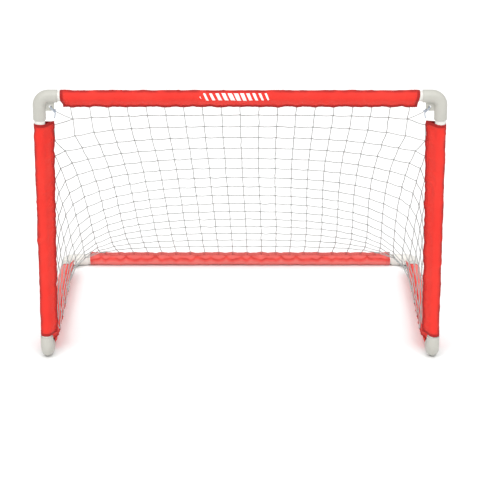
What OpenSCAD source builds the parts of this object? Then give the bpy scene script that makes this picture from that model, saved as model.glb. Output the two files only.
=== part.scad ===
// Street hockey goal: six straight tubes pushed into six corner elbows, a loose fabric sleeve
// over each tube, and a square-mesh net sewn along the sleeves.
// X runs across the goal mouth, Y from the mouth to the back and Z up from the floor.
// The origin lies on the floor, midway across and midway from front to back.

/* [Overall size] */
// Outside width over the elbows
goal_w = 914; // [760:1:1220]
// Outside height
goal_h = 640; // [520:1:860]
// Outside depth
goal_d = 640; // [520:1:860]

/* [Tubes] */
// Outside diameter of every frame tube
tube_od = 24; // [20:0.5:28]
// Wall of every frame tube
tube_wall = 2; // [1.2:0.1:3]

/* [Corner elbows] */
// Wall of an elbow around its tube
elbow_wall = 2.4; // [1.8:0.1:3.4]
// Radial room between a tube and its socket
socket_gap = 0.05; // [0.02:0.01:0.1]
// Bend radius of an elbow on its centre line
bend_r = 21; // [18:0.5:32]
// Socket length of an elbow's short leg, from the bend to the mouth
short_leg = 19.5; // [18:0.5:45]
// Socket length of an elbow's long leg, from the bend to the mouth
long_leg = 32.5; // [24:0.5:60]
// Width of the shoulder that stops a tube short of the bend
stop_w = 2; // [1:0.5:4]

/* [Corner lugs] */
// Reach of the lug beyond the inner sides of the legs
lug_reach = 19; // [17:0.5:26]
// Thickness of the lug
lug_t = 4; // [3:0.5:6]
// Radius of the lug's free corner
lug_corner_r = 9; // [8:0.5:12]
// Diameter of the eyelet in the lug
eyelet_d = 6.5; // [5:0.1:8]

/* [Fabric sleeves] */
// Thickness of the sleeve fabric with its hem
sleeve_t = 0.8; // [0.4:0.1:1.5]
// Room between a sleeve and its tube
sleeve_gap = 0.3; // [0.2:0.1:1]
// Bare tube left between a mouth and the crossbar sleeve
cross_bare = 6.4; // [0.5:0.1:30]
// Bare tube left at the top of a post
post_top_bare = 9; // [0.5:0.5:30]
// Bare tube left at the foot of a post
post_foot_bare = 3; // [0.5:0.5:30]
// Bare tube left at the ends of the rear sleeve and at the front end of a base side sleeve
bare_end = 4.6; // [0.5:0.1:30]
// Bare tube left at the rear end of each base side sleeve
base_rear_bare = 24.5; // [0.5:0.5:60]
// Radius of the sewn edge where the net is stitched to a sleeve
seam_r = 1.6; // [1:0.1:4]
// Reach of the crossbar sleeve's sewn edge from the tube's axis
cross_reach = 29; // [22:1:50]
// Reach of a post sleeve's sewn edge at its top
post_top_reach = 35; // [22:1:50]
// Reach of a post sleeve's sewn edge at its foot
post_foot_reach = 28; // [22:1:50]
// Reach of a base side sleeve's sewn edge
base_reach = 32; // [22:1:50]
// Reach of the rear sleeve's sewn edge
rear_reach = 24; // [20:1:50]
// Lean of the crossbar sleeve's sewn edge, back from straight down
cross_lean = 18; // [0:1:60]
// Lean of a post sleeve's sewn edge, back from straight inwards
post_lean = 28; // [0:1:60]
// Lean of a base side sleeve's sewn edge, inwards from straight up
base_lean = 46; // [0:1:70]
// Lean of the rear sleeve's sewn edge, forwards from straight up
rear_lean = 20; // [0:1:60]

/* [Net] */
// Thickness of the plain sheet that stands for the net
net_t = 1.6; // [1:0.1:4]
// Room between the net sheet and the sewn edges
net_gap = 1.2; // [0.5:0.1:4]
// Sag of the back of the net at its middle
net_sag = 13; // [0:1:60]
// Share of the side's width that the rounded ridge takes up
ridge_side = 0.66; // [0.1:0.02:0.9]
// Share of the back's half width that the rounded ridge takes up
ridge_back = 0.85; // [0.2:0.05:0.95]
// Rows of mesh from the crossbar to the rear bar
net_rows = 17; // [8:1:24]

/* [Corner ties] */
// Diameter of the cord that ties the net to a top elbow
tie_cord_d = 2.4; // [1.5:0.1:3.5]
// Radius of the tied loop on its centre line
tie_loop_r = 6.3; // [5.5:0.1:9]

/* [Hidden] */

ROUND = 96;         // facets of a round tube
CORD_ROUND = 32;    // facets of a cord
BODY_STEPS = 24;    // steps of a sleeve's outline about its tube
SEAM_STEPS = 6;     // steps of its outline round the sewn edge
OVER = 1;           // overrun of a cut past the face it opens

plastic = [0.80, 0.80, 0.77];
red = [0.86, 0.16, 0.12];
cord_white = [0.93, 0.93, 0.92];

tube_r = tube_od / 2;
bore_r = tube_r - tube_wall;
socket_r = tube_r + socket_gap;
elbow_r = tube_r + elbow_wall;
lug_edge = elbow_r + lug_reach;
eyelet_at = lug_edge - lug_corner_r;

// Places of the tubes' axes
side_x = goal_w / 2 - elbow_r;
front_y = -goal_d / 2 + elbow_r;
rear_y = goal_d / 2 - elbow_r;
top_z = goal_h - elbow_r;
base_z = elbow_r;

// Distances from the crossing of two tube axes, along either tube
tube_end = bend_r + stop_w;
short_mouth = bend_r + short_leg;
long_mouth = bend_r + long_leg;

sleeve_r = tube_r + sleeve_gap + sleeve_t;

// ---- tubes and elbows ----

// A plain tube along +Z from its end at z = 0
module tube(len) {
    color(plastic)
    difference() {
        cylinder(r = tube_r, h = len, $fn = ROUND);
        translate([0, 0, -OVER]) cylinder(r = bore_r, h = len + 2 * OVER, $fn = ROUND);
    }
}

// A tube between two points on one axis direction: turn sets +Z onto it
module tube_between(start, span, turn) {
    translate(start) rotate(turn) translate([0, 0, tube_end]) tube(span - 2 * tube_end);
}

// A quarter bend and its two straight legs, of one radius: legs run along +X and +Y
module elbow_sweep(r, leg_x, leg_y) {
    translate([bend_r, bend_r, 0])
        rotate([0, 0, 180])
            rotate_extrude(angle = 90, $fn = ROUND)
                translate([bend_r, 0]) circle(r = r, $fn = ROUND);
    translate([bend_r, 0, 0]) rotate([0, 90, 0]) cylinder(r = r, h = leg_x, $fn = ROUND);
    translate([0, bend_r, 0]) rotate([-90, 0, 0]) cylinder(r = r, h = leg_y, $fn = ROUND);
}

// The flat lug in the inside corner, with a rounded free corner
module lug() {
    translate([0, 0, -lug_t / 2])
        linear_extrude(lug_t)
            union() {
                square([lug_edge, eyelet_at]);
                square([eyelet_at, lug_edge]);
                translate([eyelet_at, eyelet_at]) circle(r = lug_corner_r, $fn = ROUND);
            }
}

// One corner elbow: its axes cross at the origin, the short leg runs along +X, the long one along +Y
module elbow() {
    color(plastic)
    difference() {
        union() {
            elbow_sweep(elbow_r, short_leg, long_leg);
            lug();
        }
        elbow_sweep(bore_r, short_leg + OVER, long_leg + OVER);
        translate([tube_end, 0, 0]) rotate([0, 90, 0])
            cylinder(r = socket_r, h = short_leg, $fn = ROUND);
        translate([0, tube_end, 0]) rotate([-90, 0, 0])
            cylinder(r = socket_r, h = long_leg, $fn = ROUND);
        translate([eyelet_at, eyelet_at, -lug_t])
            cylinder(d = eyelet_d, h = 2 * lug_t, $fn = ROUND);
    }
}

module on_right() {
    mirror([1, 0, 0]) children();
}

module crossbar_tube() {
    tube_between([-side_x, front_y, top_z], 2 * side_x, [0, 90, 0]);
}

module rear_tube() {
    tube_between([-side_x, rear_y, base_z], 2 * side_x, [0, 90, 0]);
}

module left_post_tube() {
    tube_between([-side_x, front_y, base_z], top_z - base_z, [0, 0, 0]);
}

module left_base_tube() {
    tube_between([-side_x, front_y, base_z], rear_y - front_y, [-90, 0, 0]);
}

module right_post_tube() {
    on_right() left_post_tube();
}

module right_base_tube() {
    on_right() left_base_tube();
}

// The short leg holds the crossbar, the long one the post
module top_left_elbow() {
    translate([-side_x, front_y, top_z]) rotate([-90, 0, 0]) elbow();
}

// The short leg holds the post, the long one the base tube
module left_foot_elbow() {
    translate([-side_x, front_y, base_z]) rotate([0, -90, 0]) elbow();
}

// The short leg holds the base tube, the long one the rear tube
module rear_left_elbow() {
    translate([-side_x, rear_y, base_z]) rotate([0, 0, -90]) elbow();
}

module top_right_elbow() {
    on_right() top_left_elbow();
}

module right_foot_elbow() {
    on_right() left_foot_elbow();
}

module rear_right_elbow() {
    on_right() rear_left_elbow();
}

// ---- fabric sleeves ----

// Outline of a sleeve at height z: an arc about the tube, two tangents and a small arc round the
// sewn edge, which lies at the given reach and lean
function arc(at, r, from, to, steps) =
    [for (i = [0 : steps]) at + r * [cos(from + (to - from) * i / steps), sin(from + (to - from) * i / steps)]];
function sleeve_outline(reach, lean) =
    let (off = reach - seam_r, half = acos((sleeve_r - seam_r) / off))
    concat(
        arc([0, 0], sleeve_r, lean + half, lean + 360 - half, BODY_STEPS),
        arc(off * [cos(lean), sin(lean)], seam_r, lean - half, lean + half, SEAM_STEPS)
    );
function at_height(outline, z) = [for (p = outline) [p[0], p[1], z]];

// A sleeve along +Z whose sewn edge goes from one reach to another, open for its tube
module sleeve(len, reach_a, reach_b, lean) {
    n = BODY_STEPS + SEAM_STEPS + 2;
    points = concat(
        at_height(sleeve_outline(reach_a, lean), 0),
        at_height(sleeve_outline(reach_b, lean), len)
    );
    sides = [for (i = [0 : n - 1])
        let (j = (i + 1) % n)
        for (t = [[j, i, i + n], [j, i + n, j + n]]) t];
    color(red)
    difference() {
        polyhedron(points = points, faces = concat([[for (i = [0 : n - 1]) i],
            [for (i = [n - 1 : -1 : 0]) i + n]], sides));
        translate([0, 0, -OVER])
            cylinder(r = tube_r + sleeve_gap, h = len + 2 * OVER, $fn = ROUND);
    }
}

cross_start = short_mouth + cross_bare;
rear_start = long_mouth + bare_end;
post_low = base_z + short_mouth + post_foot_bare;
post_high = top_z - long_mouth - post_top_bare;
base_front = front_y + long_mouth + bare_end;
base_rear = rear_y - short_mouth - base_rear_bare;

// Along +X, with the sewn edge down and back
module crossbar_sleeve() {
    translate([-side_x + cross_start, front_y, top_z]) rotate([0, 90, 0])
        sleeve(2 * (side_x - cross_start), cross_reach, cross_reach, cross_lean);
}

// Along +X, with the sewn edge up and forwards
module rear_sleeve() {
    translate([-side_x + rear_start, rear_y, base_z]) rotate([0, 90, 0])
        sleeve(2 * (side_x - rear_start), rear_reach, rear_reach, 180 + rear_lean);
}

// Along +Z, with the sewn edge inwards and back
module left_post_sleeve() {
    translate([-side_x, front_y, post_low])
        sleeve(post_high - post_low, post_foot_reach, post_top_reach, post_lean);
}

// Along +Y, with the sewn edge up and inwards
module left_base_sleeve() {
    translate([-side_x, base_front, base_z]) rotate([-90, 0, 0])
        sleeve(base_rear - base_front, base_reach, base_reach, base_lean - 90);
}

module right_post_sleeve() {
    on_right() left_post_sleeve();
}

module right_base_sleeve() {
    on_right() left_base_sleeve();
}

// ---- net ----
// The net hangs as one sheet: it leaves the crossbar sleeve, falls to the rear sleeve and turns
// over a rounded ridge at each side, down to the post sleeve and the base side sleeve.

// Sewn edges, as [y, z] along the crossbar and rear sleeves, [x, y] at a height up the post and
// [x, z] along the base side
top_edge = [front_y + cross_reach * sin(cross_lean), top_z - cross_reach * cos(cross_lean)];
rear_edge = [rear_y - rear_reach * sin(rear_lean), base_z + rear_reach * cos(rear_lean)];
function post_edge(z) =
    let (r = post_foot_reach
        + (post_top_reach - post_foot_reach) * (z - post_low) / (post_high - post_low))
    [side_x - r * cos(post_lean), front_y + r * sin(post_lean)];
base_edge = [side_x - base_reach * sin(base_lean), base_z + base_reach * cos(base_lean)];

// Corners of the net's side, as [y, z], each a little off the sewn edge there
off_edge = net_gap + seam_r;
side_top = top_edge - [0, net_gap + net_t];
side_rear = rear_edge + [0, net_gap];
side_front_y = post_edge(post_high)[1] + off_edge;
side_base_z = base_edge[1] + off_edge;
side_plane = post_edge(post_high)[0];

drop = side_top[1] - side_base_z;
run = side_rear[0] - side_front_y;
slant = norm([drop, run]);

// A row of mesh at share v of the slant runs square to it, down to the post or the base side
function along_slant(v) = side_top + (side_rear - side_top) * v;
function row_foot(v) =
    v * slant * slant <= drop * drop
        ? [side_front_y, side_top[1] - v * slant * slant / drop]
        : [side_rear[0] - (1 - v) * slant * slant / run, side_base_z];

// Sag of the back, square to the slant and greatest at its middle
function sag_at(v) =
    let (dir = (side_rear - side_top) / norm(side_rear - side_top))
    4 * v * (1 - v) * net_sag * [dir[1], -dir[0]];

function curve(a, b, c, t) = (1 - t) * (1 - t) * a + 2 * t * (1 - t) * b + t * t * c;
function mix(a, b, t) = a + (b - a) * t;

// Points where a row meets the post or base side, its ridge and its rounded ridge's two ends
function foot_point(v) =
    let (foot = row_foot(v), edge = post_edge(foot[1]))
    foot[1] > side_base_z
        ? [edge[0], edge[1] + off_edge, foot[1]]
        : [base_edge[0], foot[0], foot[1]];
function ridge_point(v) = [side_plane, along_slant(v)[0], along_slant(v)[1]];
function round_low(v) = mix(ridge_point(v), foot_point(v), ridge_side);
function back_point(x, v) = [x, along_slant(v)[0] + sag_at(v)[0], along_slant(v)[1] + sag_at(v)[1]];
function round_high(v) = back_point(side_plane * (1 - ridge_back), v);
function over_ridge(v, t) = curve(round_low(v), ridge_point(v), round_high(v), t);

RIDGE_STEPS = 5;    // steps over each half of the rounded ridge
BACK_STEPS = 4;     // steps from the ridge's end to the middle of the back
CORNER_CUT = 0.03;  // share of the slant left out at each end, where the side narrows to nothing

// Half of a row on the back of the net, from the middle of its ridge to the middle of the goal
function back_half(v) = concat(
    [for (i = [0 : RIDGE_STEPS - 1]) over_ridge(v, 0.5 + 0.5 * i / RIDGE_STEPS)],
    [for (i = [0 : BACK_STEPS]) back_point(round_high(v)[0] * (1 - i / BACK_STEPS), v)]
);
function mirrored(points) =
    [for (i = [len(points) - 2 : -1 : 0]) [-points[i][0], points[i][1], points[i][2]]];
function back_row(v) = concat(back_half(v), mirrored(back_half(v)));

// A row on the side of the net, from its foot to the middle of its ridge
function side_row(v) = concat(
    [for (i = [0 : RIDGE_STEPS - 1]) mix(foot_point(v), round_low(v), i / RIDGE_STEPS)],
    [for (i = [0 : RIDGE_STEPS]) over_ridge(v, 0.5 * i / RIDGE_STEPS)]
);

// A closed sheet over a grid of points, as thick as the vector from one face to the other
module sheet(rows, thick) {
    n = len(rows[0]);
    last = len(rows) - 1;
    count = n * len(rows);
    face = [for (r = rows) for (p = r) p];
    points = concat(face, [for (p = face) p + thick]);
    quads = [for (i = [0 : last - 1]) for (j = [0 : n - 2])
        [i * n + j, i * n + j + 1, (i + 1) * n + j + 1, (i + 1) * n + j]];
    rim = concat(
        [for (j = [0 : n - 1]) j],
        [for (i = [1 : last]) i * n + n - 1],
        [for (j = [n - 2 : -1 : 0]) last * n + j],
        [for (i = [last - 1 : -1 : 1]) i * n]
    );
    faces = concat(
        [for (q = quads) for (t = [[q[0], q[1], q[2]], [q[0], q[2], q[3]]]) t],
        [for (q = quads) for (t = [[q[2], q[1], q[0]], [q[3], q[2], q[0]]]) t + [count, count, count]],
        [for (i = [0 : len(rim) - 1])
            let (a = rim[i], b = rim[(i + 1) % len(rim)])
            for (t = [[b, a, a + count], [b, a + count, b + count]]) t]
    );
    color(cord_white) polyhedron(points = points, faces = faces);
}

// The row's points go from +X to -X, so the outer face lies behind and above the inner one
module net_back() {
    sheet([for (i = [0 : net_rows]) back_row(i / net_rows)], net_t * [0, 0.7, 0.7]);
}

module net_right_side() {
    sheet(
        [for (i = [0 : net_rows]) side_row(CORNER_CUT + (1 - 2 * CORNER_CUT) * i / net_rows)],
        net_t * [1, 0, 0]
    );
}

module net_left_side() {
    on_right() net_right_side();
}

// ---- corner ties ----

// A loop of cord through the lug's eyelet and around the lug's free corner
module top_left_tie() {
    out = tie_loop_r / sqrt(2);
    color(cord_white)
    translate([-side_x + eyelet_at + out, front_y, top_z - eyelet_at - out])
        rotate([0, 45, 0])
            rotate_extrude($fn = ROUND)
                translate([tie_loop_r, 0]) circle(d = tie_cord_d, $fn = CORD_ROUND);
}

module top_right_tie() {
    on_right() top_left_tie();
}

crossbar_tube();
left_post_tube();
right_post_tube();
left_base_tube();
right_base_tube();
rear_tube();
top_left_elbow();
top_right_elbow();
left_foot_elbow();
right_foot_elbow();
rear_left_elbow();
rear_right_elbow();
crossbar_sleeve();
left_post_sleeve();
right_post_sleeve();
left_base_sleeve();
right_base_sleeve();
rear_sleeve();
net_back();
net_left_side();
net_right_side();
top_left_tie();
top_right_tie();
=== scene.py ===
"""Street hockey goal. The tubes and elbows are the frame's own and get their finish here. This script
makes what is soft: a fabric sleeve folded and sewn round each tube, the knotted net held in the
sleeves' seams, and the cord ties at the two top elbows.
Sizes are metres in the frame's axes: X across the mouth, Y from the mouth to the back, Z up."""

import bpy
import numpy as np
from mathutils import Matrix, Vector


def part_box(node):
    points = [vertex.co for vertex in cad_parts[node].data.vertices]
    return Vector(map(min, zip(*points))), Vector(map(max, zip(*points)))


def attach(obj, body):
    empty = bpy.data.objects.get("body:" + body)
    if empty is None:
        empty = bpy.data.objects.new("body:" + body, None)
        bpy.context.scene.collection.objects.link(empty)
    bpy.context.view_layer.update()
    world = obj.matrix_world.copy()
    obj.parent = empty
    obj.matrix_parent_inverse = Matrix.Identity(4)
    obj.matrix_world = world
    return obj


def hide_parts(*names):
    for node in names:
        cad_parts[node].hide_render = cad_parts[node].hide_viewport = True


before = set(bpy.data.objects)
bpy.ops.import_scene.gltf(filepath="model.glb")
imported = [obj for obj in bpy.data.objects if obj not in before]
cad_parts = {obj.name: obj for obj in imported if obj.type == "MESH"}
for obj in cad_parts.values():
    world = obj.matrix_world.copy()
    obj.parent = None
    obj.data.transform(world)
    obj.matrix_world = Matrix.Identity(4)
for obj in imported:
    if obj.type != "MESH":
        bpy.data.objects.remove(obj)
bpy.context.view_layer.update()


def corners(node):
    """Lowest and highest corner of a node of the frame, as arrays."""
    low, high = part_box(node)
    return np.array(low), np.array(high)


def middle(node):
    """Middle of a node's box."""
    low, high = corners(node)
    return (low + high) / 2


# ---- places taken from the frame ----

SIDE_X = -middle("left_post_tube")[0]
FRONT_Y = middle("left_post_tube")[1]
REAR_Y = middle("rear_tube")[1]
TOP_Z = middle("crossbar_tube")[2]
BASE_Z = middle("rear_tube")[2]
TUBE_R = np.ptp(corners("left_post_tube"), axis=0)[0] / 2

# ---- cloth and thread ----

CLOTH = 0.0008          # thickness of the sleeve cloth
CLOTH_R = TUBE_R + 0.0011   # outer side of the cloth where it lies round a tube
LAYER_GAP = 0.0003      # room between the two layers of a sewn edge
HEM = 0.012             # width of the turned end of a sleeve
HEM_STITCH = 0.0095     # distance of its stitch row from the end
THREAD_R = 0.0003       # radius of the sewing thread
STITCH = 0.0032         # length of one stitch
STITCH_PITCH = 0.0044   # from one stitch to the next
FLOOR_ROOM = 0.0008     # lowest the cloth comes to the floor, thread included
FLOOR_SOFT = 0.0006     # height over which it flattens there

# ---- net ----

CORD_R = 0.0010         # radius of the net's cord
KNOT_R = 0.0016         # radius of its knots
ROWS = 17               # spaces between rows, from the crossbar to the rear bar
COLUMNS = 19            # columns that start at the crossbar
SIDE_COLUMNS = 8        # columns more that the sheet has on each side
REAR_HOLDS = 22         # columns that end at the rear bar
BOW_MOST = 0.006        # deepest bow of a slack cord


# ---- meshes ----


def mesh_piece(name, verts, faces, materials, smooth=None, uv=None, values=None):
    """A piece whose object sits at the origin. faces is a list of arrays, one row of corners each;
    smooth says for each face whether it is shaded smooth, uv gives two numbers for each corner of
    each face, and values gives named numbers for each vertex."""
    mesh = bpy.data.meshes.new(name)
    sizes = np.concatenate([np.full(len(f), f.shape[1]) for f in faces])
    loops = np.concatenate([f.ravel() for f in faces]).astype(np.int32)
    mesh.vertices.add(len(verts))
    mesh.vertices.foreach_set("co", np.asarray(verts, np.float32).ravel())
    mesh.loops.add(len(loops))
    mesh.loops.foreach_set("vertex_index", loops)
    mesh.polygons.add(len(sizes))
    mesh.polygons.foreach_set("loop_start", np.concatenate([[0], np.cumsum(sizes)[:-1]]).astype(np.int32))
    if smooth is None:
        smooth = np.ones(len(sizes), bool)
    mesh.polygons.foreach_set("use_smooth", smooth)
    if uv is not None:
        mesh.uv_layers.new(name="UVMap").data.foreach_set("uv", np.asarray(uv, np.float32).ravel())
    for label, numbers in (values or {}).items():
        layer = mesh.attributes.new(label, "FLOAT", "POINT")
        layer.data.foreach_set("value", np.asarray(numbers, np.float32).ravel())
    mesh.validate()
    mesh.update()
    for m in materials:
        mesh.materials.append(m)
    piece = bpy.data.objects.new(name, mesh)
    bpy.context.scene.collection.objects.link(piece)
    return piece


def unit(v):
    """Vectors along the last axis, made one long."""
    return v / np.linalg.norm(v, axis=-1, keepdims=True)


def smooth_step(x):
    """0 below 0, 1 above 1, and 3x² - 2x³ between."""
    x = np.clip(x, 0, 1)
    return x * x * (3 - 2 * x)


def rings(paths, radius, sides, sideways=None):
    """Tube surfaces round several paths at once: paths is (count, points, 3), radius fits (count,
    points). Each ring is centre + radius (cos a e1 + sin a e2), where e1 and e2 are square to the
    path's direction there and e1 is square to sideways too."""
    along = unit(np.gradient(paths, axis=1))
    if sideways is None:
        sideways = np.array([0.31, 0.52, 0.79])
    e1 = unit(np.cross(along, sideways))
    e2 = np.cross(along, e1)
    a = np.arange(sides) * 2 * np.pi / sides
    around = np.cos(a)[:, None] * e1[:, :, None] + np.sin(a)[:, None] * e2[:, :, None]
    return paths[:, :, None] + np.broadcast_to(radius, paths.shape[:2])[:, :, None, None] * around


def ring_faces(count, points, sides):
    """Faces of those surfaces, each closed at both ends, as [quads, end polygons]."""
    ids = np.arange(count * points * sides).reshape(count, points, sides)
    turned = np.roll(ids, -1, axis=2)
    quads = np.stack([ids[:, :-1], turned[:, :-1], turned[:, 1:], ids[:, 1:]], -1).reshape(-1, 4)
    ends = np.concatenate([ids[:, 0, ::-1], ids[:, -1]])
    return [quads, ends]


def ring_uv(paths, sides):
    """UV of those surfaces: share of the way round, and metres along the path."""
    steps = np.linalg.norm(np.diff(paths, axis=1), axis=2)
    v = np.concatenate([np.zeros((len(paths), 1)), np.cumsum(steps, axis=1)], axis=1)
    u = np.arange(sides + 1) / sides
    low, high = v[:, :-1, None], v[:, 1:, None]
    left, right = u[:-1], u[1:]
    shape = (len(paths), paths.shape[1] - 1, sides)
    spread = [np.broadcast_to(x, shape) for x in (left, low, right, low, right, high, left, high)]
    quads = np.stack(spread, -1).reshape(-1, 2)
    return np.concatenate([quads, np.zeros((2 * len(paths) * sides, 2))])


def cord_piece(name, paths, radius, sides, materials):
    """One piece made of closed tubes round several paths."""
    surface = rings(paths, radius, sides)
    faces = ring_faces(len(paths), paths.shape[1], sides)
    return mesh_piece(name, surface.reshape(-1, 3), faces, materials, uv=ring_uv(paths, sides))


# ---- materials ----


def put(tree, kind, inputs=None, **settings):
    """Adds a node: sets its properties, then links or fills the inputs named."""
    node = tree.nodes.new("ShaderNode" + kind)
    for key, value in settings.items():
        setattr(node, key, value)
    for key, value in (inputs or {}).items():
        if isinstance(value, bpy.types.NodeSocket):
            tree.links.new(value, node.inputs[key])
        else:
            node.inputs[key].default_value = value
    return node


def maths(tree, operation, a, b=0.0):
    """The result of a maths node."""
    return put(tree, "Math", {0: a, 1: b}, operation=operation).outputs[0]


def blend_colours(tree, share, a, b):
    """Colour a where share is 0 and b where it is 1."""
    return put(tree, "Mix", {0: share, 6: a, 7: b}, data_type="RGBA").outputs[2]


def noise(tree, where, scale, detail=3.0, roughness=0.5):
    """Cloudy noise about 0.5, with scale clouds to a metre."""
    sockets = {"Vector": where, "Scale": scale, "Detail": detail, "Roughness": roughness}
    return put(tree, "TexNoise", sockets).outputs["Fac"]


def limits(tree, value, low, high, to_low=0.0, to_high=1.0):
    """A value from low to high, spread over to_low to to_high and held there."""
    sockets = {"Value": value, 1: low, 2: high, 3: to_low, 4: to_high}
    return put(tree, "MapRange", sockets, clamp=True).outputs[0]


def finish(name, constants):
    """A material with its shader's constant sockets set. Returns it, its tree and its shader."""
    made = bpy.data.materials.new(name)
    made.use_nodes = True
    shader = made.node_tree.nodes["Principled BSDF"]
    for key, value in constants.items():
        shader.inputs[key].default_value = value
    return made, made.node_tree, shader


def towards_back(tree, place, most):
    """Share of a painted wash of light, growing from nothing at the mouth to most at the back."""
    y = put(tree, "SeparateXYZ", {0: place}).outputs[1]
    return limits(tree, y, FRONT_Y + 0.03, REAR_Y - 0.1, 0.0, most)


def bump(tree, height, distance, strength=1.0, under=None):
    """A normal roughened by a height, on top of the normal under it if one is given."""
    inputs = {"Height": height, "Distance": distance, "Strength": strength}
    if under is not None:
        inputs["Normal"] = under
    return put(tree, "Bump", inputs).outputs[0]


def weave(tree, yarn):
    """Height of a plain weave on the UV map: sin(x) sin(y) with one yarn each half wave. Returns it
    and the node that parts the map."""
    uv = put(tree, "UVMap", uv_map="UVMap").outputs[0]
    parts = put(tree, "SeparateXYZ", {0: uv})
    waves = [
        maths(tree, "SINE", maths(tree, "MULTIPLY", parts.outputs[k], np.pi / yarn)) for k in (0, 1)
    ]
    return maths(tree, "MULTIPLY", *waves), parts


MARK_HALF = 0.079       # half length of the printed mark
MARK_HIGH = 0.017       # its height
MARK_PITCH = 0.0135     # from one bar to the next
MARK_SLANT = -0.45      # lean of the bars
# RED_DARK is for the darker hems and sewn edges and for painted shade; RED_PALE is for the painted wash of
# light towards the back
RED = (0.75, 0.028, 0.019, 1)
RED_DARK = (0.27, 0.010, 0.010, 1)
RED_FADED = (0.80, 0.060, 0.040, 1)
RED_PALE = (0.86, 0.36, 0.33, 1)


def stripe_mask(tree, parts, centre_v, centre_u):
    """Where the printed mark is: slanted bars in a long six-sided field, thinner towards its ends."""
    along = maths(tree, "SUBTRACT", parts.outputs[1], centre_v)
    across = maths(tree, "SUBTRACT", parts.outputs[0], centre_u)
    far = maths(tree, "ABSOLUTE", along)
    high = maths(tree, "ABSOLUTE", across)
    slanted = maths(tree, "ADD", along, maths(tree, "MULTIPLY", across, MARK_SLANT))
    phase = maths(tree, "FRACT", maths(tree, "DIVIDE", slanted, MARK_PITCH))
    width = limits(tree, far, 0.0, MARK_HALF, 0.74, 0.30)
    bars = maths(tree, "LESS_THAN", phase, width)
    reach = maths(tree, "ADD", far, maths(tree, "MULTIPLY", high, 0.9))
    inside = maths(tree, "LESS_THAN", reach, MARK_HALF)
    band = maths(tree, "LESS_THAN", high, MARK_HIGH / 2)
    return maths(tree, "MULTIPLY", maths(tree, "MULTIPLY", bars, inside), band)


def sleeve_cloth(name, mark=None):
    """Woven red polyester: darker at hems and sewn edges, with painted shade in the creases' troughs, along
    the fold line and beside the seam, paler where it is rubbed, washed paler towards the back as painted
    light, and with the white printed mark where mark gives its centre on the UV map."""
    made, tree, shader = finish(
        name,
        {
            "Roughness": 0.68,
            "Specular IOR Level": 0.22,
            "Sheen Weight": 0.08,
            "Sheen Roughness": 0.4,
            "Sheen Tint": (1.0, 0.55, 0.5, 1),
        },
    )
    place = put(tree, "TexCoord").outputs["Object"]
    height, parts = weave(tree, 0.0007)
    patches = noise(tree, place, 14, 4)
    fine = noise(tree, place, 260, 2)
    edge = put(tree, "Attribute", attribute_name="edge").outputs["Fac"]
    crest = put(tree, "Attribute", attribute_name="crest").outputs["Fac"]
    colour = blend_colours(tree, limits(tree, patches, 0.3, 0.75, 0.0, 0.35), RED, RED_FADED)
    rubbed = maths(tree, "MULTIPLY", limits(tree, crest, 0.45, 1.0), limits(tree, fine, 0.35, 0.75))
    colour = blend_colours(tree, maths(tree, "MULTIPLY", rubbed, 0.35), colour, RED_FADED)
    # Painted light: the cloth is washed paler towards the back, except where deep marks the valley beside the
    # seam, which keeps its darker red as painted shade
    deep = put(tree, "Attribute", attribute_name="deep").outputs["Fac"]
    painted_wash = maths(tree, "MULTIPLY", towards_back(tree, place, 0.50), maths(tree, "SUBTRACT", 1.0, deep))
    colour = blend_colours(tree, painted_wash, colour, RED_PALE)
    # Painted shade: the troughs of the creases are darkened, and edge brings in the painted shade of the fold
    # line and of the valley beside the seam besides the darker hems and sewn edges
    shaded = maths(tree, "MAXIMUM", edge, limits(tree, crest, 0.38, 0.05, 0.0, 0.5))
    colour = blend_colours(tree, maths(tree, "MULTIPLY", shaded, 0.85), colour, RED_DARK)
    if mark is not None:
        wear = limits(tree, fine, 0.22, 0.4, 0.7, 1)
        ink = maths(tree, "MULTIPLY", stripe_mask(tree, parts, *mark), wear)
        colour = blend_colours(tree, ink, colour, (0.86, 0.84, 0.82, 1))
    tree.links.new(colour, shader.inputs["Base Color"])
    coarse = bump(tree, noise(tree, place, 120, 3), 0.0006, 0.25)
    tree.links.new(bump(tree, height, 0.00012, 0.6, coarse), shader.inputs["Normal"])
    return made


def thread_finish():
    """Dark red twisted sewing thread."""
    made, tree, shader = finish("sewing_thread", {"Roughness": 0.5, "Sheen Weight": 0.2})
    place = put(tree, "TexCoord").outputs["Object"]
    shade = limits(tree, noise(tree, place, 900, 2), 0.3, 0.7)
    colour = blend_colours(tree, shade, (0.22, 0.008, 0.008, 1), (0.42, 0.02, 0.018, 1))
    tree.links.new(colour, shader.inputs["Base Color"])
    return made


def twisted_cord(name, pale, dull, lay, strands):
    """Twisted cord: strands wind once round in each lay metres, with grooves between them, darkened in the
    grooves as painted shade.
    """
    made, tree, shader = finish(name, {"Roughness": 0.6, "Specular IOR Level": 0.4, "Sheen Weight": 0.15})
    uv = put(tree, "UVMap", uv_map="UVMap").outputs[0]
    parts = put(tree, "SeparateXYZ", {0: uv})
    wound = maths(tree, "ADD", parts.outputs[0], maths(tree, "DIVIDE", parts.outputs[1], lay))
    phase = maths(tree, "MULTIPLY", wound, 2 * np.pi * strands)
    groove = maths(tree, "ABSOLUTE", maths(tree, "SINE", maths(tree, "MULTIPLY", phase, 0.5)))
    place = put(tree, "TexCoord").outputs["Object"]
    patches = limits(tree, noise(tree, place, 35, 3), 0.35, 0.7)
    colour = blend_colours(tree, patches, pale, dull)
    # Painted shade in the grooves between the strands
    groove_shade = limits(tree, groove, 0.0, 0.5, 0.6, 0.0)
    colour = blend_colours(tree, groove_shade, colour, [0.45 * c for c in dull[:3]] + [1])
    tree.links.new(colour, shader.inputs["Base Color"])
    tree.links.new(bump(tree, groove, 0.0003, 0.8), shader.inputs["Normal"])
    return made


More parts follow.
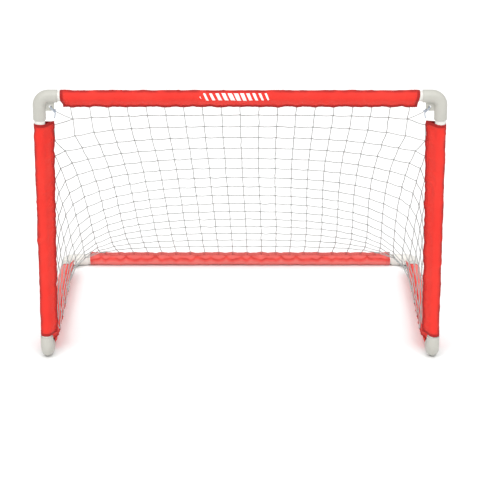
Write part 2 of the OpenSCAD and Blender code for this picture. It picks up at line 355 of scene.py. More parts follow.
def moulded_plastic():
    """Warm grey moulded plastic of the elbows: fine grain, a few scuffs and slight blotches, and a
    painted wash of light that makes it paler towards the back."""
    made, tree, shader = finish("elbow_plastic", {"Specular IOR Level": 0.45, "IOR": 1.49})
    place = put(tree, "TexCoord").outputs["Object"]
    blotch = limits(tree, noise(tree, place, 22, 4), 0.3, 0.7)
    colour = blend_colours(tree, blotch, (0.455, 0.45, 0.405, 1), (0.50, 0.495, 0.45, 1))
    stretched = put(tree, "Mapping", {"Vector": place, "Scale": (60, 60, 420)}).outputs[0]
    scuffs = limits(tree, noise(tree, stretched, 1.0, 5, 0.6), 0.66, 0.74)
    colour = blend_colours(tree, maths(tree, "MULTIPLY", scuffs, 0.35), colour, (0.36, 0.355, 0.33, 1))
    # Painted light: a pale wash towards the back
    colour = blend_colours(tree, towards_back(tree, place, 0.8), colour, (0.78, 0.76, 0.72, 1))
    tree.links.new(colour, shader.inputs["Base Color"])
    rough = limits(tree, noise(tree, place, 90, 3), 0.3, 0.7, 0.36, 0.50)
    rough = maths(tree, "ADD", rough, maths(tree, "MULTIPLY", scuffs, 0.2))
    tree.links.new(rough, shader.inputs["Roughness"])
    grain = bump(tree, noise(tree, place, 1800, 2), 0.00008, 0.5)
    tree.links.new(bump(tree, noise(tree, place, 60, 2), 0.0006, 0.15, grain), shader.inputs["Normal"])
    return made


def tube_finish():
    """White extruded plastic of the tubes: faint lengthwise drawing lines and rubbed marks."""
    made, tree, shader = finish("tube_plastic", {"Specular IOR Level": 0.5, "IOR": 1.5})
    place = put(tree, "TexCoord").outputs["Object"]
    marks = limits(tree, noise(tree, place, 160, 4, 0.65), 0.58, 0.72)
    marks = maths(tree, "MULTIPLY", marks, 0.3)
    colour = blend_colours(tree, marks, (0.72, 0.71, 0.67, 1), (0.5, 0.48, 0.44, 1))
    tree.links.new(colour, shader.inputs["Base Color"])
    rough = limits(tree, noise(tree, place, 70, 3), 0.3, 0.7, 0.28, 0.42)
    tree.links.new(rough, shader.inputs["Roughness"])
    tree.links.new(bump(tree, noise(tree, place, 900, 2), 0.00006, 0.4), shader.inputs["Normal"])
    return made


elbow_plastic = moulded_plastic()
tube_plastic = tube_finish()
sewing_thread = thread_finish()
net_cord = twisted_cord("net_cord", (0.46, 0.47, 0.46, 1), (0.35, 0.36, 0.35, 1), 0.006, 3)
tie_cord = twisted_cord("tie_cord", (0.46, 0.51, 0.58, 1), (0.33, 0.38, 0.45, 1), 0.008, 4)


# ---- camera, light and floor ----


EYE_DISTANCE = 4.77     # camera in front of the goal's middle
EYE_HEIGHT = 1.905      # and above the floor
EYE_TILT = 19.9         # degrees that it looks down


def aim(thing, place, target):
    """Puts a camera or lamp at place, looking at target with its top up."""
    thing.location = place
    thing.rotation_euler = (Vector(target) - Vector(place)).to_track_quat("-Z", "Y").to_euler()
    bpy.context.scene.collection.objects.link(thing)


def make_camera():
    """A long lens in front of the goal and above it, level across."""
    data = bpy.data.cameras.new("camera")
    data.lens = 158
    data.clip_end = 100
    camera = bpy.data.objects.new("camera", data)
    drop = EYE_DISTANCE * np.tan(np.radians(EYE_TILT))
    aim(camera, (0, -EYE_DISTANCE, EYE_HEIGHT), (0, 0, EYE_HEIGHT - drop))
    bpy.context.scene.camera = camera


def soft_light(name, direction, width, strength):
    """A large far-off soft box: even light from one direction, spread over an angle of width degrees."""
    data = bpy.data.lights.new(name, "SUN")
    data.angle = np.radians(width)
    data.energy = strength
    aim(bpy.data.objects.new(name, data), direction, (0, 0, 0))


def make_studio():
    """A white sky, paler overhead than round about, two soft boxes in front, one overhead, and a
    pale floor."""
    world = bpy.data.worlds.new("studio")
    world.use_nodes = True
    tree = world.node_tree
    height = put(tree, "SeparateXYZ", {0: put(tree, "TexCoord").outputs["Generated"]}).outputs[2]
    glow = limits(tree, height, 0.0, 0.8, 0.34, 0.75)
    background = tree.nodes["Background"]
    background.inputs["Color"].default_value = (1, 1, 1, 1)
    tree.links.new(glow, background.inputs["Strength"])
    bpy.context.scene.world = world
    bpy.context.scene.view_settings.view_transform = "Standard"
    soft_light("left_box", (-0.55, -1.0, 1.0), 30, 1.05)
    soft_light("right_box", (0.50, -1.0, 1.0), 30, 0.95)
    soft_light("overhead", (0, -0.15, 1), 55, 0.75)
    size = 40
    square = np.array([[-size, -size, 0], [size, -size, 0], [size, size, 0], [-size, size, 0]])
    made, tree, shader = finish("pale_floor", {"Roughness": 0.9, "Specular IOR Level": 0.1})
    place = put(tree, "TexCoord").outputs["Object"]
    shade = limits(tree, noise(tree, place, 3, 2), 0.3, 0.7)
    colour = blend_colours(tree, shade, (0.93, 0.93, 0.93, 1), (0.95, 0.95, 0.95, 1))
    tree.links.new(colour, shader.inputs["Base Color"])
    floor = mesh_piece("floor", square, [np.array([[0, 1, 2, 3]])], [made])


make_camera()
make_studio()


# ---- the net's shape ----


def lean(degrees):
    """Sine and cosine of an angle in degrees."""
    return np.sin(np.radians(degrees)), np.cos(np.radians(degrees))


# Each sleeve's sewn edge: its reach from the tube's axis and its lean
CROSS_REACH, CROSS_LEAN = 0.029, lean(18)       # back from straight down
POST_REACHES, POST_LEAN = (0.028, 0.035), lean(28)  # at foot and top; back from straight inwards
BASE_REACH, BASE_LEAN = 0.032, lean(46)         # inwards from straight up
REAR_REACH, REAR_LEAN = 0.024, lean(20)         # forwards from straight up

HELD_IN = 0.0015        # how far a net cord goes on inside the sewn edge


def cross_edge(x):
    """Points on the crossbar sleeve's sewn edge."""
    s, c = CROSS_LEAN
    return np.stack([x, FRONT_Y + CROSS_REACH * s + 0 * x, TOP_Z - CROSS_REACH * c + 0 * x], -1)


def rear_edge(x):
    """Points on the rear sleeve's sewn edge."""
    s, c = REAR_LEAN
    return np.stack([x, REAR_Y - REAR_REACH * s + 0 * x, BASE_Z + REAR_REACH * c + 0 * x], -1)


def post_edge(side, z):
    """Points on a post sleeve's sewn edge, on the side -1 or 1."""
    s, c = POST_LEAN
    low, high = corners("left_post_sleeve")
    reach = np.interp(z, [low[2], high[2]], POST_REACHES)
    return np.stack([side * (SIDE_X - reach * c), FRONT_Y + reach * s, z], -1)


def base_edge(side, y):
    """Points on a base side sleeve's sewn edge, on the side -1 or 1."""
    s, c = BASE_LEAN
    return np.stack([side * (SIDE_X - BASE_REACH * s) + 0 * y, y, BASE_Z + BASE_REACH * c + 0 * y], -1)


END_ROOM = 0.022        # from a sleeve's end to its first net cord
CROSS_HOLDS = np.linspace(-1, 1, COLUMNS) * (corners("crossbar_sleeve")[1][0] - END_ROOM)
REAR_HOLD_X = np.linspace(-1, 1, REAR_HOLDS) * (corners("rear_sleeve")[1][0] - 0.003)
POST_ROWS = 10          # rows that end on a post
BASE_ROWS = 6           # rows that end on a base side bar
POST_TOP = corners("left_post_sleeve")[1][2] - 0.008
POST_PITCH = 0.0575     # between the rows there
POST_CROWDING = 0.043   # how much nearer together the first three are, in all
POST_HOLDS = (
    POST_TOP - POST_PITCH * np.arange(POST_ROWS) + POST_CROWDING * smooth_step(np.arange(POST_ROWS) / 2)
)
BASE_HOLDS = np.linspace(FRONT_Y + 0.089, REAR_Y - 0.120, BASE_ROWS)


def net_layout():
    """Where the sheet of net is held: arrays over rows by columns with each knot's place, whether it
    is held there, and whether it is part of the net. Columns run from -SIDE_COLUMNS to
    COLUMNS - 1 + SIDE_COLUMNS and the sheet is sewn a little askew: two columns more end on the
    rear bar at the left and one at the right."""
    columns = np.arange(-SIDE_COLUMNS, COLUMNS + SIDE_COLUMNS)
    at = np.full((ROWS + 1, len(columns), 3), np.nan)
    middle_columns = slice(SIDE_COLUMNS, SIDE_COLUMNS + COLUMNS)
    at[0, middle_columns] = cross_edge(CROSS_HOLDS)
    first = SIDE_COLUMNS - 2
    at[ROWS, first : first + REAR_HOLDS] = rear_edge(REAR_HOLD_X)
    for side, last_row in ((-1, ROWS + 2), (1, ROWS + 1)):
        rows = np.arange(1, POST_ROWS + BASE_ROWS + 1)
        out = np.where(rows <= POST_ROWS, np.clip(rows - 1, 1, SIDE_COLUMNS), last_row - rows)
        column = SIDE_COLUMNS - out if side < 0 else SIDE_COLUMNS + COLUMNS - 1 + out
        held_at = np.concatenate([post_edge(side, POST_HOLDS), base_edge(side, BASE_HOLDS)])
        at[rows, column] = held_at
    held = ~np.isnan(at[..., 0])
    index = np.arange(len(columns))
    first_held = held.argmax(axis=1)[:, None]
    last_held = len(columns) - 1 - held[:, ::-1].argmax(axis=1)[:, None]
    there = (index >= first_held) & (index <= last_held)
    return at, held, there


def start_shape(at, held, there):
    """A first guess: each row lies between the crossbar's edge and the rear edge, and its ends are
    drawn out to where they are held."""
    count = at.shape[1]
    column = np.clip(np.arange(count) - SIDE_COLUMNS, 0, COLUMNS - 1) + SIDE_COLUMNS
    share = (np.arange(ROWS + 1) / ROWS)[:, None, None]
    shape = at[0, column] * (1 - share) + at[ROWS, column] * share
    for row in range(1, ROWS):
        ends = np.flatnonzero(held[row])
        for end, inner in ((ends[0], SIDE_COLUMNS), (ends[-1], SIDE_COLUMNS + COLUMNS - 1)):
            out = (np.arange(count) - inner) / (end - inner)
            out = np.clip(out, 0, 1)[:, None]
            shape[row] = shape[row] * (1 - out) + at[row, end] * out
    return np.where(held[..., None], at, np.where(there[..., None], shape, 0))


# Unstretched cord between knots. The cords give as springs and settle longer than this, by about a
# quarter down the back, a fifteenth across it, and two fifths down and a twelfth across the sides
MESH_DOWN = 0.040       # down the back
MESH_ACROSS = 0.036     # across the back
MESH_SIDE = 0.038       # at the sides
FIRST_DOWN = 0.024      # from the crossbar to the first row
NET_WEIGHT = 0.0001     # pull of its weight on each knot, against a cord's pull per metre


def net_links(there):
    """Pairs of neighbouring knots and the unstretched length of the cord between them."""
    ids = np.arange(there.size).reshape(there.shape)
    index = np.arange(there.shape[1])
    at_side = (index < SIDE_COLUMNS) | (index >= SIDE_COLUMNS + COLUMNS)
    across = there[1:-1, :-1] & there[1:-1, 1:]
    down = there[:-1] & there[1:]
    length_across = np.where(at_side[:-1] | at_side[1:], MESH_SIDE, MESH_ACROSS)
    length_down = np.where(at_side, MESH_SIDE, MESH_DOWN) + np.zeros((ROWS, 1))
    length_down[0] = FIRST_DOWN
    pairs = np.concatenate(
        [
            np.stack([ids[1:-1, :-1][across], ids[1:-1, 1:][across]], -1),
            np.stack([ids[:-1][down], ids[1:][down]], -1),
        ]
    )
    lengths = np.concatenate([np.broadcast_to(length_across, across.shape)[across], length_down[down]])
    return pairs, lengths


def settle(at, loose, pairs, lengths, steps):
    """Lets the net hang as a sheet of springs: each cord pulls its two knots together by how far it
    is stretched past its length, and hardly pushes when shorter, each knot has weight, and the
    motion is damped away. The cords stay stretched, so this is a hanging shape and no cord's true
    length."""
    x = at.reshape(-1, 3).copy()
    speed = np.zeros_like(x)
    count = len(x)
    for _ in range(steps):
        d = x[pairs[:, 1]] - x[pairs[:, 0]]
        size = np.linalg.norm(d, axis=1)
        over = size - lengths
        pull = d * ((np.maximum(over, 0) + 0.02 * over) / size)[:, None]
        force = np.stack(
            [
                np.bincount(pairs[:, 0], pull[:, k], count) - np.bincount(pairs[:, 1], pull[:, k], count)
                for k in range(3)
            ],
            -1,
        )
        force[:, 2] -= NET_WEIGHT
        speed = (speed * 0.96 + force * 0.15) * loose[:, None]
        x = x + speed * 0.3
    return x


net_at, net_held, net_there = net_layout()
net_pairs, net_lengths = net_links(net_there)
net_loose = (net_there & ~net_held).ravel()
knots = settle(start_shape(net_at, net_held, net_there), net_loose, net_pairs, net_lengths, 5000)


# ---- sleeves ----


HOLD_DRAW = 0.0012      # how far a held cord draws the raw edge out
EDGE_WANDER = 0.0007    # slow wandering of the raw edge
EDGE_BACK = 0.0010      # how far it lies back between the holds
FAN_HIGH = 0.0011       # height of the folds that fan out from a hold
FINE_CREASES = (150, 0.0009, 0.0036, 0.45)      # to a metre, height, width and slant in radians
WIDE_CREASES = (60, 0.0010, 0.0065, 1.35)
BAGGY = 0.0005          # slow swelling of the whole cloth
FOLD_HIGH = 0.0006      # ridge of the fold line opposite the seam
FOLD_WIDE = 0.0024      # its width
PUCKER = 0.0088         # from one pucker of a seam to the next
PUCKER_HIGH = 0.00022   # height of a pucker beside the seam
TUBE_PRESS = 0.0003     # how far the cloth may be pressed in where it lies on the tube
SPAN_PRESS = 0.0017     # and how much more where it stands off
FLUTTER = 0.0009        # sideways wandering of the flap between holds
CUT_FADE = 0.04         # length over which the shape of a cut end dies away
CREST_SPAN = 0.003      # push over which the crest value runs from 0 to 1


class Sleeve:
    """One bar's sleeve, along the frame's axis of that number. pull is the way its sewn edge points,
    reaches is the edge's distance from the tube's axis at both ends, flap the width of the sewn part
    and holds the places of the net's cords. cuts says how far each end is cut back at the edge, and
    slack how deep its creases are. dark is how dark its edge and hems are, valley how far from the
    seam its shaded line runs, and puff how far the cloth stands out beside the seam."""

    def __init__(
        self, name, node, axis, pull, reaches, flap, holds, cuts, slack, dark=1.0, valley=0.0015, puff=0.0013
    ):
        low, high = corners(node)
        self.name, self.node = name, node
        self.along = np.eye(3)[axis]
        self.pull = np.array(pull)
        self.side = np.cross(self.along, self.pull)
        self.start = middle(TUBE_OF[node])
        self.start[axis] = low[axis]
        self.length = high[axis] - low[axis]
        self.reaches, self.flap, self.cuts, self.slack, self.dark = reaches, flap, cuts, slack, dark
        self.valley, self.puff = valley, puff
        self.holds = np.asarray(holds) - low[axis]


TUBE_OF = {
    "crossbar_sleeve": "crossbar_tube",
    "left_post_sleeve": "left_post_tube",
    "right_post_sleeve": "right_post_tube",
    "left_base_sleeve": "left_base_tube",
    "right_base_sleeve": "right_base_tube",
    "rear_sleeve": "rear_tube",
}


def stations(length):
    """Distances along a sleeve: close together in its two hems, about 2 mm apart between."""
    hem = np.linspace(0, 1.15 * HEM, 20)
    count = int((length - 2 * hem[-1]) / 0.0021)
    return np.concatenate([hem[:-1], np.linspace(hem[-1], length - hem[-1], count), length - hem[-2::-1]])


def cloth_outline(reach, flap, layer):
    """Half of the folded cloth's outline, from its raw edge to the far side of the tube, for each
    reach: straight along the sewn flap, straight to where it touches the tube, then round the tube.
    Returns places (stations, points, 2) along the pull and sideways."""
    reach, layer = reach[:, None], layer[:, None]
    parting = reach - flap
    size = np.hypot(parting, layer)
    touch = np.arctan2(layer, parting) + np.arccos(np.clip(CLOTH_R / size, -1, 1))
    t = np.linspace(0, 1, 9)[:-1]
    flat = [reach - flap * t, layer + 0 * reach * t]
    t = np.linspace(0, 1, 13)[:-1]
    free = [
        parting + (CLOTH_R * np.cos(touch) - parting) * t,
        layer + (CLOTH_R * np.sin(touch) - layer) * t,
    ]
    angle = touch + (np.pi - touch) * np.linspace(0, 1, 22)
    round_tube = [CLOTH_R * np.cos(angle), CLOTH_R * np.sin(angle)]
    return np.stack([np.concatenate(p, axis=1) for p in zip(flat, free, round_tube)], -1)


def crease_field(s, c, length, girth, rng, count, height, width, slant):
    """Creases: each is a ridge exp(-x²) beside a shallower trough, across its own slanted line, and
    fades out along it. s runs along the sleeve and c round it."""
    total = np.zeros_like(s)
    for _ in range(count):
        turn = rng.normal(slant, 0.35) * rng.choice([-1, 1])
        wide = width * rng.uniform(0.6, 1.5)
        long = rng.uniform(2.2, 5.0) * wide
        ds = s - rng.uniform(0, length)
        dc = c - rng.uniform(-girth / 2, girth / 2)
        x = (ds * np.cos(turn) + dc * np.sin(turn)) / wide
        y = (dc * np.cos(turn) - ds * np.sin(turn)) / long
        ridge = np.exp(-x * x) - 0.5 * np.exp(-((x - 1.5) ** 2))
        total += height * rng.uniform(0.4, 1.0) * ridge * np.exp(-y * y)
    return total


def swell(s, rng, waves, low, high):
    """Slow wandering between -1 and 1: a sum of sines with wavelengths from low to high."""
    lengths = np.geomspace(low, high, waves)
    parts = [np.sin(2 * np.pi * (s / w + rng.uniform())) for w in lengths]
    return sum(parts) / np.sqrt(waves)


def sleeve_surface(sleeve, rng):
    """The cloth's outer and inner surface and the numbers its material reads. The outline is
    carried along the tube, its raw edge is drawn out where a net cord is held, and the cloth is
    pushed out or in along its own normal: folds fan out from each hold as cos(4 angle) exp(-away),
    and creases, a bulge beside the seam, a ridge opposite it, the seams' puckers as sines and the
    hems' thickness are added. s runs along the sleeve and c round it, from the fold line."""
    s = stations(sleeve.length)
    near = np.exp(-(((s[:, None] - sleeve.holds) / 0.004) ** 2)).sum(axis=1)
    tight = np.exp(-(((s[:, None] - sleeve.holds) / 0.011) ** 2)).sum(axis=1)
    reach = np.interp(s, [0, sleeve.length], sleeve.reaches) + HOLD_DRAW * np.minimum(tight, 1)
    reach += EDGE_WANDER * swell(s, rng, 4, 0.02, 0.11) - EDGE_BACK
    layer = CLOTH + LAYER_GAP / 2 + 0.0007 * np.minimum(near, 1)
    half = cloth_outline(reach, sleeve.flap, layer)
    other = half[:, -2::-1] * [1, -1]
    outline = np.concatenate([half, other], axis=1)

    steps = np.linalg.norm(np.diff(outline[len(s) // 2], axis=0), axis=1)
    round_ = np.concatenate([[0], np.cumsum(steps)])
    girth = round_[-1]
    c = np.broadcast_to(round_ - girth / 2, outline.shape[:2])
    from_edge = girth / 2 - np.abs(c)
    S = np.broadcast_to(s[:, None], c.shape)
    end = np.minimum(S, sleeve.length - S)
    on_flap = smooth_step((sleeve.flap + 0.001 - from_edge) / 0.002)
    free = smooth_step((from_edge - sleeve.flap) / 0.005)
    inner = smooth_step((end - 0.004) / 0.02)

    fan = np.zeros_like(S)
    for hold in sleeve.holds:
        away = np.hypot(S - hold, from_edge - sleeve.flap) + 1e-6
        angle = np.arctan2(S - hold, np.maximum(from_edge - sleeve.flap, 0))
        fan += np.cos(4 * angle) * np.exp(-away / 0.016) * (1 - np.exp(-((away / 0.004) ** 2)))
    slack = sleeve.slack
    push = FAN_HIGH * fan * free
    for per_metre, high, wide, slant in (FINE_CREASES, WIDE_CREASES):
        count = int(per_metre * sleeve.length)
        push = push + inner * free * crease_field(
            S, c, sleeve.length, girth, rng, count, high * slack, wide, slant
        )
    push += BAGGY * slack * free * swell(S, rng, 4, 0.035, 0.16) * np.cos(np.pi * c / girth * 2)
    beyond = from_edge - sleeve.flap
    puff = smooth_step(beyond / 0.006) * (1 - smooth_step((beyond - 0.010) / 0.014))
    push += sleeve.puff * inner * puff * (0.8 + 0.2 * swell(S, rng, 3, 0.03, 0.09))
    push += FOLD_HIGH * np.exp(-((c / FOLD_WIDE) ** 2)) * (0.7 + 0.3 * swell(S, rng, 3, 0.02, 0.08))
    room = np.hypot(outline[..., 0], outline[..., 1]) - CLOTH_R
    push = np.maximum(push, -TUBE_PRESS - np.clip(room, 0, SPAN_PRESS))
    line = np.exp(-((beyond / 0.0016) ** 2))
    pucker = np.sin(2 * np.pi * S / PUCKER + 1.5 * np.sin(S / 0.021))
    push += (PUCKER_HIGH * pucker - 0.0002) * line + 0.0002 * pucker * on_flap * (1 - line)
    hem = 1 - smooth_step((end - HEM) / 0.0012)
    hem_line = np.exp(-(((end - HEM_STITCH) / 0.0009) ** 2))
    ripple = np.sin(2 * np.pi * c / PUCKER + 2 * np.sin(c / 0.017))
    push += hem * (0.0005 + 0.00018 * ripple * (1 - on_flap)) - 0.0004 * hem_line
    push += (1 - smooth_step(end / 0.0012)) * -0.0002

    cut = sleeve.cuts
    towards = smooth_step((outline[..., 0] + CLOTH_R) / (reach[:, None] + CLOTH_R))
    wander = 0.0006 * np.sin(2 * np.pi * c / girth + rng.uniform(0, 6)) + 0.0004 * np.sin(c / 0.006)
    moved = S + (cut[0] * towards + wander) * np.maximum(0, 1 - S / CUT_FADE)
    moved = moved - (cut[1] * towards - wander) * np.maximum(0, 1 - (sleeve.length - S) / CUT_FADE)

    flutter = FLUTTER * swell(s, rng, 4, 0.016, 0.07) * (1 - np.minimum(tight, 1))
    across = outline[..., 1] + flutter[:, None] * on_flap
    at = (
        sleeve.start
        + moved[..., None] * sleeve.along
        + outline[..., :1] * sleeve.pull
        + across[..., None] * sleeve.side
    )
    normal = unit(np.cross(np.gradient(at, axis=1), np.gradient(at, axis=0)))
    outer = at + push[..., None] * normal
    above = outer[..., 2] - FLOOR_ROOM
    outer[..., 2] = FLOOR_ROOM + (above + np.hypot(above, FLOOR_SOFT)) / 2
    normal = unit(np.cross(np.gradient(outer, axis=1), np.gradient(outer, axis=0)))
    thick = CLOTH * (1 + 0.35 * hem * (1 - on_flap))
    inner_side = outer - thick[..., None] * normal

    crest = np.clip(0.5 + push / CREST_SPAN, 0, 1) * free + 0.5 * (1 - free)
    edge = np.maximum(1 - smooth_step((end - 0.0055) / 0.003), 1 - smooth_step((from_edge - 0.003) / 0.003))
    # Painted shade along the fold line opposite the seam, the cloth's outer side where it turns away from the
    # light
    rim_shade = np.clip(0.85 + 0.3 * swell(S, rng, 3, 0.03, 0.08), 0, 1)
    edge = np.maximum(edge * sleeve.dark, np.exp(-((c / 0.0055) ** 2)) * rim_shade)
    # Painted shade: a dark line in the valley beside the seam
    valley = np.clip(0.6 + 0.5 * swell(S, rng, 3, 0.025, 0.07), 0, 1)
    edge = np.maximum(edge, 0.7 * np.exp(-(((beyond - sleeve.valley) / 0.0014) ** 2)) * valley)
    # deep is painted shade: the valley beside the seam held out of the painted wash of light
    deep = 0.8 * np.exp(-(((beyond - sleeve.valley - 0.001) / 0.006) ** 2))
    return {
        "outer": outer,
        "inner": inner_side,
        "normal": normal,
        "crest": crest,
        "edge": edge,
        "deep": deep,
        "uv": np.stack([c, S], -1),
        "girth": girth,
        "end": end,
    }


def shell_faces(rows, columns):
    """Faces of a closed shell over two grids, the outer one first: its outer side, its inner side
    turned over, and the four rims between them."""
    ids = np.arange(rows * columns).reshape(rows, columns)
    lower = ids + rows * columns
    outer = np.stack([ids[:-1, :-1], ids[:-1, 1:], ids[1:, 1:], ids[1:, :-1]], -1).reshape(-1, 4)
    inner = outer[:, ::-1] + rows * columns
    rims = [
        np.stack([ids[0, 1:], ids[0, :-1], lower[0, :-1], lower[0, 1:]], -1),
        np.stack([ids[-1, :-1], ids[-1, 1:], lower[-1, 1:], lower[-1, :-1]], -1),
        np.stack([ids[:-1, 0], ids[1:, 0], lower[1:, 0], lower[:-1, 0]], -1),
        np.stack([ids[1:, -1], ids[:-1, -1], lower[:-1, -1], lower[1:, -1]], -1),
    ]
    return np.concatenate([outer, inner, *rims]), 2 * len(outer)


def cloth_piece(sleeve, made, cloth):
    """The sleeve as one closed shell of cloth, with its UV map in metres."""
    rows, columns = made["outer"].shape[:2]
    faces, smooth_faces = shell_faces(rows, columns)
    verts = np.concatenate([made["outer"].reshape(-1, 3), made["inner"].reshape(-1, 3)])
    uv = np.tile(made["uv"].reshape(-1, 2), (2, 1))[faces.ravel()]
    values = {k: np.tile(made[k].ravel(), 2) for k in ("crest", "edge", "deep")}
    smooth = np.arange(len(faces)) < smooth_faces
    return mesh_piece(sleeve.name + "_cloth", verts, [faces], [cloth], smooth, uv, values)


def thread_bars(centre, along, normal, length, radius, lift):
    """Many short threads at once: each rises out of the cloth, lies along it and goes back in."""
    t = np.array([-0.5, -0.3, 0.0, 0.3, 0.5])
    high = np.array([-0.9, 0.45, 0.8, 0.45, -0.9]) * lift
    paths = centre[:, None] + along[:, None] * (t * length)[:, None] + normal[:, None] * high[:, None]
    return rings(paths, radius, 6, normal[:, None])


def stitch_row(points, normals):
    """Centres, directions and normals of stitches along a line on the cloth."""
    steps = np.linalg.norm(np.diff(points, axis=0), axis=1)
    way = np.concatenate([[0], np.cumsum(steps)])
    count = int(way[-1] / STITCH_PITCH)
    at = (np.arange(count) + 0.5) * way[-1] / count

    def follow(values, where):
        return np.stack([np.interp(where, way, v) for v in values.T], -1)

    along = unit(follow(points, at + STITCH / 3) - follow(points, at - STITCH / 3))
    return follow(points, at), along, unit(follow(normals, at))


def stitching(sleeve, made):
    """All the thread on one sleeve: a row along each side of the sewn flap, a row round each hem
    and a bar of three threads over each net cord."""
    outer, normal = made["outer"], made["normal"]
    columns = outer.shape[1]
    found = []
    for column in (6, columns - 7):
        found.append(stitch_row(outer[:, column], normal[:, column]))
    rows = made["end"][:, columns // 2]
    first = np.abs(rows[: len(rows) // 2] - HEM_STITCH).argmin()
    for row in (first, len(rows) - 1 - first):
        found.append(stitch_row(outer[row], normal[row]))
    centre, along, up = (np.concatenate(p) for p in zip(*found))
    bars = [thread_bars(centre, along, up, STITCH, THREAD_R, 0.0003)]
    for column in (4, columns - 5):
        for shift in (-0.0008, 0.0, 0.0008):
            row = np.abs(made["uv"][:, 0, 1][:, None] - (sleeve.holds + shift)).argmin(axis=0)
            spread = (shift * sleeve.along)[None]
            place = outer[row, column] + spread
            across = np.broadcast_to(sleeve.pull, place.shape)
            bars.append(thread_bars(place, across, normal[row, column], 0.0046, THREAD_R, 0.0003))
    bars = np.concatenate(bars)
    faces = ring_faces(len(bars), bars.shape[1], bars.shape[2])
    return mesh_piece(sleeve.name + "_stitching", bars.reshape(-1, 3), faces, [sewing_thread])


def make_sleeve(sleeve, seed, cloth):
    """The cloth and thread of one sleeve, in place of its solid."""
    made = sleeve_surface(sleeve, np.random.default_rng(seed))
    piece = cloth_piece(sleeve, made, cloth)
    thread = stitching(sleeve, made)
    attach(piece, "root")
    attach(thread, "root")
    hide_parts(sleeve.node)


MARK_PLACE = (corners("crossbar_sleeve")[1][0] - 0.010, 0.0150)  # along, and round from the front


def make_sleeves():
    """The six sleeves. Left and right differ in their folds."""
    plain = sleeve_cloth("sleeve_cloth")
    printed = sleeve_cloth("printed_sleeve_cloth", MARK_PLACE)
    s, c = CROSS_LEAN
    cross = Sleeve(
        "crossbar",
        "crossbar_sleeve",
        axis=0,
        pull=(0, s, -c),
        reaches=(CROSS_REACH,) * 2,
        flap=0.0065,
        holds=CROSS_HOLDS,
        cuts=(0.005, 0.005),
        slack=1.0,
    )
    make_sleeve(cross, 11, printed)
    s, c = REAR_LEAN
    rear = Sleeve(
        "rear_bar",
        "rear_sleeve",
        axis=0,
        pull=(0, -s, c),
        reaches=(REAR_REACH,) * 2,
        flap=0.0095,
        holds=REAR_HOLD_X,
        cuts=(0, 0),
        slack=0.8,
        dark=0.3,
        valley=0.0070,
        puff=0.0022,
    )
    make_sleeve(rear, 12, plain)
    for side, word in ((-1, "left"), (1, "right")):
        s, c = POST_LEAN
        post = Sleeve(
            word + "_post",
            word + "_post_sleeve",
            axis=2,
            pull=(-side * c, s, 0),
            reaches=POST_REACHES,
            flap=0.0070,
            holds=POST_HOLDS,
            cuts=(0.003, -0.001),
            slack=1.0,
        )
        make_sleeve(post, 15 + side, plain)
        s, c = BASE_LEAN
        base = Sleeve(
            word + "_base",
            word + "_base_sleeve",
            axis=1,
            pull=(-side * s, 0, c),
            reaches=(BASE_REACH,) * 2,
            flap=0.0145,
            holds=BASE_HOLDS,
            cuts=(0, 0),
            slack=0.9,
            dark=0.5,
            puff=0.0020,
        )
        make_sleeve(base, 25 + side, plain)


make_sleeves()


# ---- the net's cords and knots ----


def net_piece():
    """The net's cords: one short tube between each pair of neighbouring knots. A cord longer than
    the gap between its knots hangs in a bow of height sqrt(3/8 gap slack), up to BOW_MOST; a taut
    one is nearly straight, and all wander a little sideways."""
    rng = np.random.default_rng(31)
    a, b = knots[net_pairs[:, 0]], knots[net_pairs[:, 1]]
    for near, far, ids in ((a, b, net_pairs[:, 0]), (b, a, net_pairs[:, 1])):
        grip = net_held.ravel()[ids]
        near[grip] -= HELD_IN * unit(far[grip] - near[grip])
    gap = np.linalg.norm(b - a, axis=1)
    slack = np.maximum(net_lengths - gap, 0) + 0.0001
    bow = np.minimum(np.sqrt(0.375 * gap * slack), BOW_MOST)
    way = unit(rng.normal(0, 0.35, a.shape) + [0, 0.25, -1])
    t = np.linspace(0, 1, 7)
    hump = 4 * t * (1 - t)
    wiggle = rng.normal(0, 0.00035, (len(a), 1, 3)) * np.sin(2 * np.pi * t)[:, None]
    paths = a[:, None] + (b - a)[:, None] * t[:, None] + wiggle
    paths = paths + (bow[:, None] * hump)[..., None] * way[:, None]
    return cord_piece("net_cords", paths, CORD_R, 6, [net_cord])


def knot_piece():
    """The knots: at each crossing two stubby barrels, one round each cord and each with a waist,
    turned a little against each other."""
    rng = np.random.default_rng(32)
    ids = np.flatnonzero(net_loose)
    centre = knots[ids]
    paths = []
    for step, size in ((net_there.shape[1], 0.0021), (1, 0.0017)):
        after = net_there.ravel()[ids + step, None]
        way = unit(np.where(after, knots[ids + step] - centre, centre - knots[ids - step]))
        way = unit(way + rng.normal(0, 0.18, way.shape))
        t = np.array([-1.0, -0.7, -0.2, 0.2, 0.7, 1.0])
        paths.append(centre[:, None] + way[:, None] * (t * size)[:, None])
    paths = np.concatenate(paths)
    shape = np.array([0.55, 0.95, 0.82, 0.82, 0.95, 0.55]) * KNOT_R
    radius = shape * rng.uniform(0.85, 1.1, (len(paths), 1))
    return cord_piece("net_knots", paths, radius, 7, [net_cord])


net = net_piece()
knot_set = knot_piece()
for made_piece in (net, knot_set):
    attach(made_piece, "root")
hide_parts("net_back", "net_left_side", "net_right_side")


# ---- corner ties ----

TIE_R = 0.0012          # radius of a corner tie's cord
STRAND_R = 0.0008       # radius of the strand from a tie to the net
STRAND_SAG = 0.004      # how far that strand sags, times four
# A tie's loose end, from its knot downwards. X is outwards
TIE_END = np.array([[0, 0, 0], [-0.001, -0.003, -0.004], [-0.0005, -0.004, -0.010], [0.001, -0.0035, -0.015]])


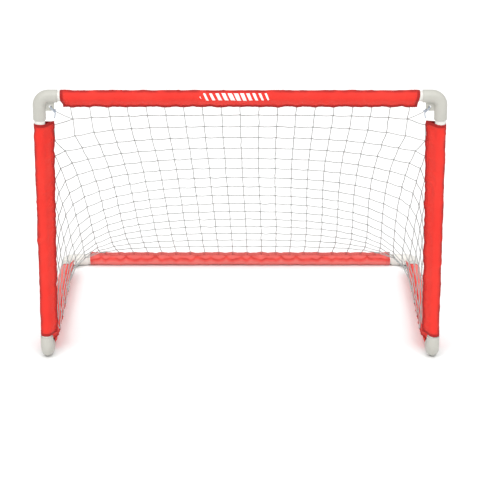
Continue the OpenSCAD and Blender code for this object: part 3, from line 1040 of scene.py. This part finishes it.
def swept(name, points, radius, cloth):
    """A cord along a smooth curve through the points: a Catmull-Rom spline with its end points
    doubled, eight steps to a span."""
    p = np.concatenate([points[:1], points, points[-1:]])
    t = np.linspace(0, 1, 8, endpoint=False)[:, None]
    spans = [
        0.5
        * (
            2 * b
            + (c - a) * t
            + (2 * a - 5 * b + 4 * c - d) * t**2
            + (3 * b - a - 3 * c + d) * t**3
        )
        for a, b, c, d in zip(p[:-3], p[1:-2], p[2:-1], p[3:])
    ]
    path = np.concatenate(spans + [points[-1:]])
    return cord_piece(name, path[None], radius, 10, [cloth])


def make_tie(side, word):
    """A cord through the eyelet of a top elbow's lug, knotted round the lug's free corner: two
    turns of a loop, a wrapped knot and a loose end, and a thin strand led on to the net's corner."""
    node = f"top_{word}_tie"
    low, high = corners(node)
    centre = (low + high) / 2
    out = np.array([-side, 0, -1]) / np.sqrt(2)
    back = np.array([0.0, 1.0, 0.0])
    across = np.cross(out, back)
    loop_r = (high[1] - low[1]) / 2 - TIE_R

    def turns(middle_at, radius, count, points, spread, first, second):
        """A coil: radius (cos a first + sin a second), moving from -spread to spread along across."""
        angle = np.linspace(0, 2 * np.pi * count, points)
        shift = spread * np.linspace(-1, 1, points)
        circle = np.cos(angle)[:, None] * first + np.sin(angle)[:, None] * second
        return middle_at + radius * circle + shift[:, None] * across

    knot = centre + out * (loop_r + TIE_R)
    corner = knots[np.flatnonzero(net_loose)[0 if side < 0 else COLUMNS - 1]]
    end = knot + np.array([side, 1, 1]) * TIE_END
    share = np.array([[0.0], [0.35], [0.7], [1.0]])
    strand = knot + (corner - knot) * share - [0, 0, STRAND_SAG] * share * (1 - share)
    parts = [
        swept(f"{node}_loop", turns(centre, loop_r, 2, 29, 0.0011, out, back), TIE_R, tie_cord),
        swept(f"{node}_knot", turns(knot, 0.0021, 3, 31, 0.0026, back, out), TIE_R, tie_cord),
        swept(f"{node}_end", end, TIE_R, tie_cord),
        swept(f"{node}_strand", strand, STRAND_R, net_cord),
    ]
    for part in parts:
        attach(part, "root")
    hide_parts(node)


make_tie(-1, "left")
make_tie(1, "right")


# ---- finish of the frame's own nodes ----


def finish_node(node, material):
    """Gives a node its material and softens its moulded or cut edges."""
    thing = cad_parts[node]
    thing.data.materials.clear()
    thing.data.materials.append(material)
    weld = thing.modifiers.new("weld", "WELD")
    weld.merge_threshold = 0.00001
    bevel = thing.modifiers.new("edge", "BEVEL")
    bevel.width = 0.0006
    bevel.segments = 2
    bevel.limit_method = "ANGLE"
    bevel.angle_limit = np.radians(40)


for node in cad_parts:
    if node.endswith("_elbow"):
        finish_node(node, elbow_plastic)
    elif node.endswith("_tube"):
        finish_node(node, tube_plastic)
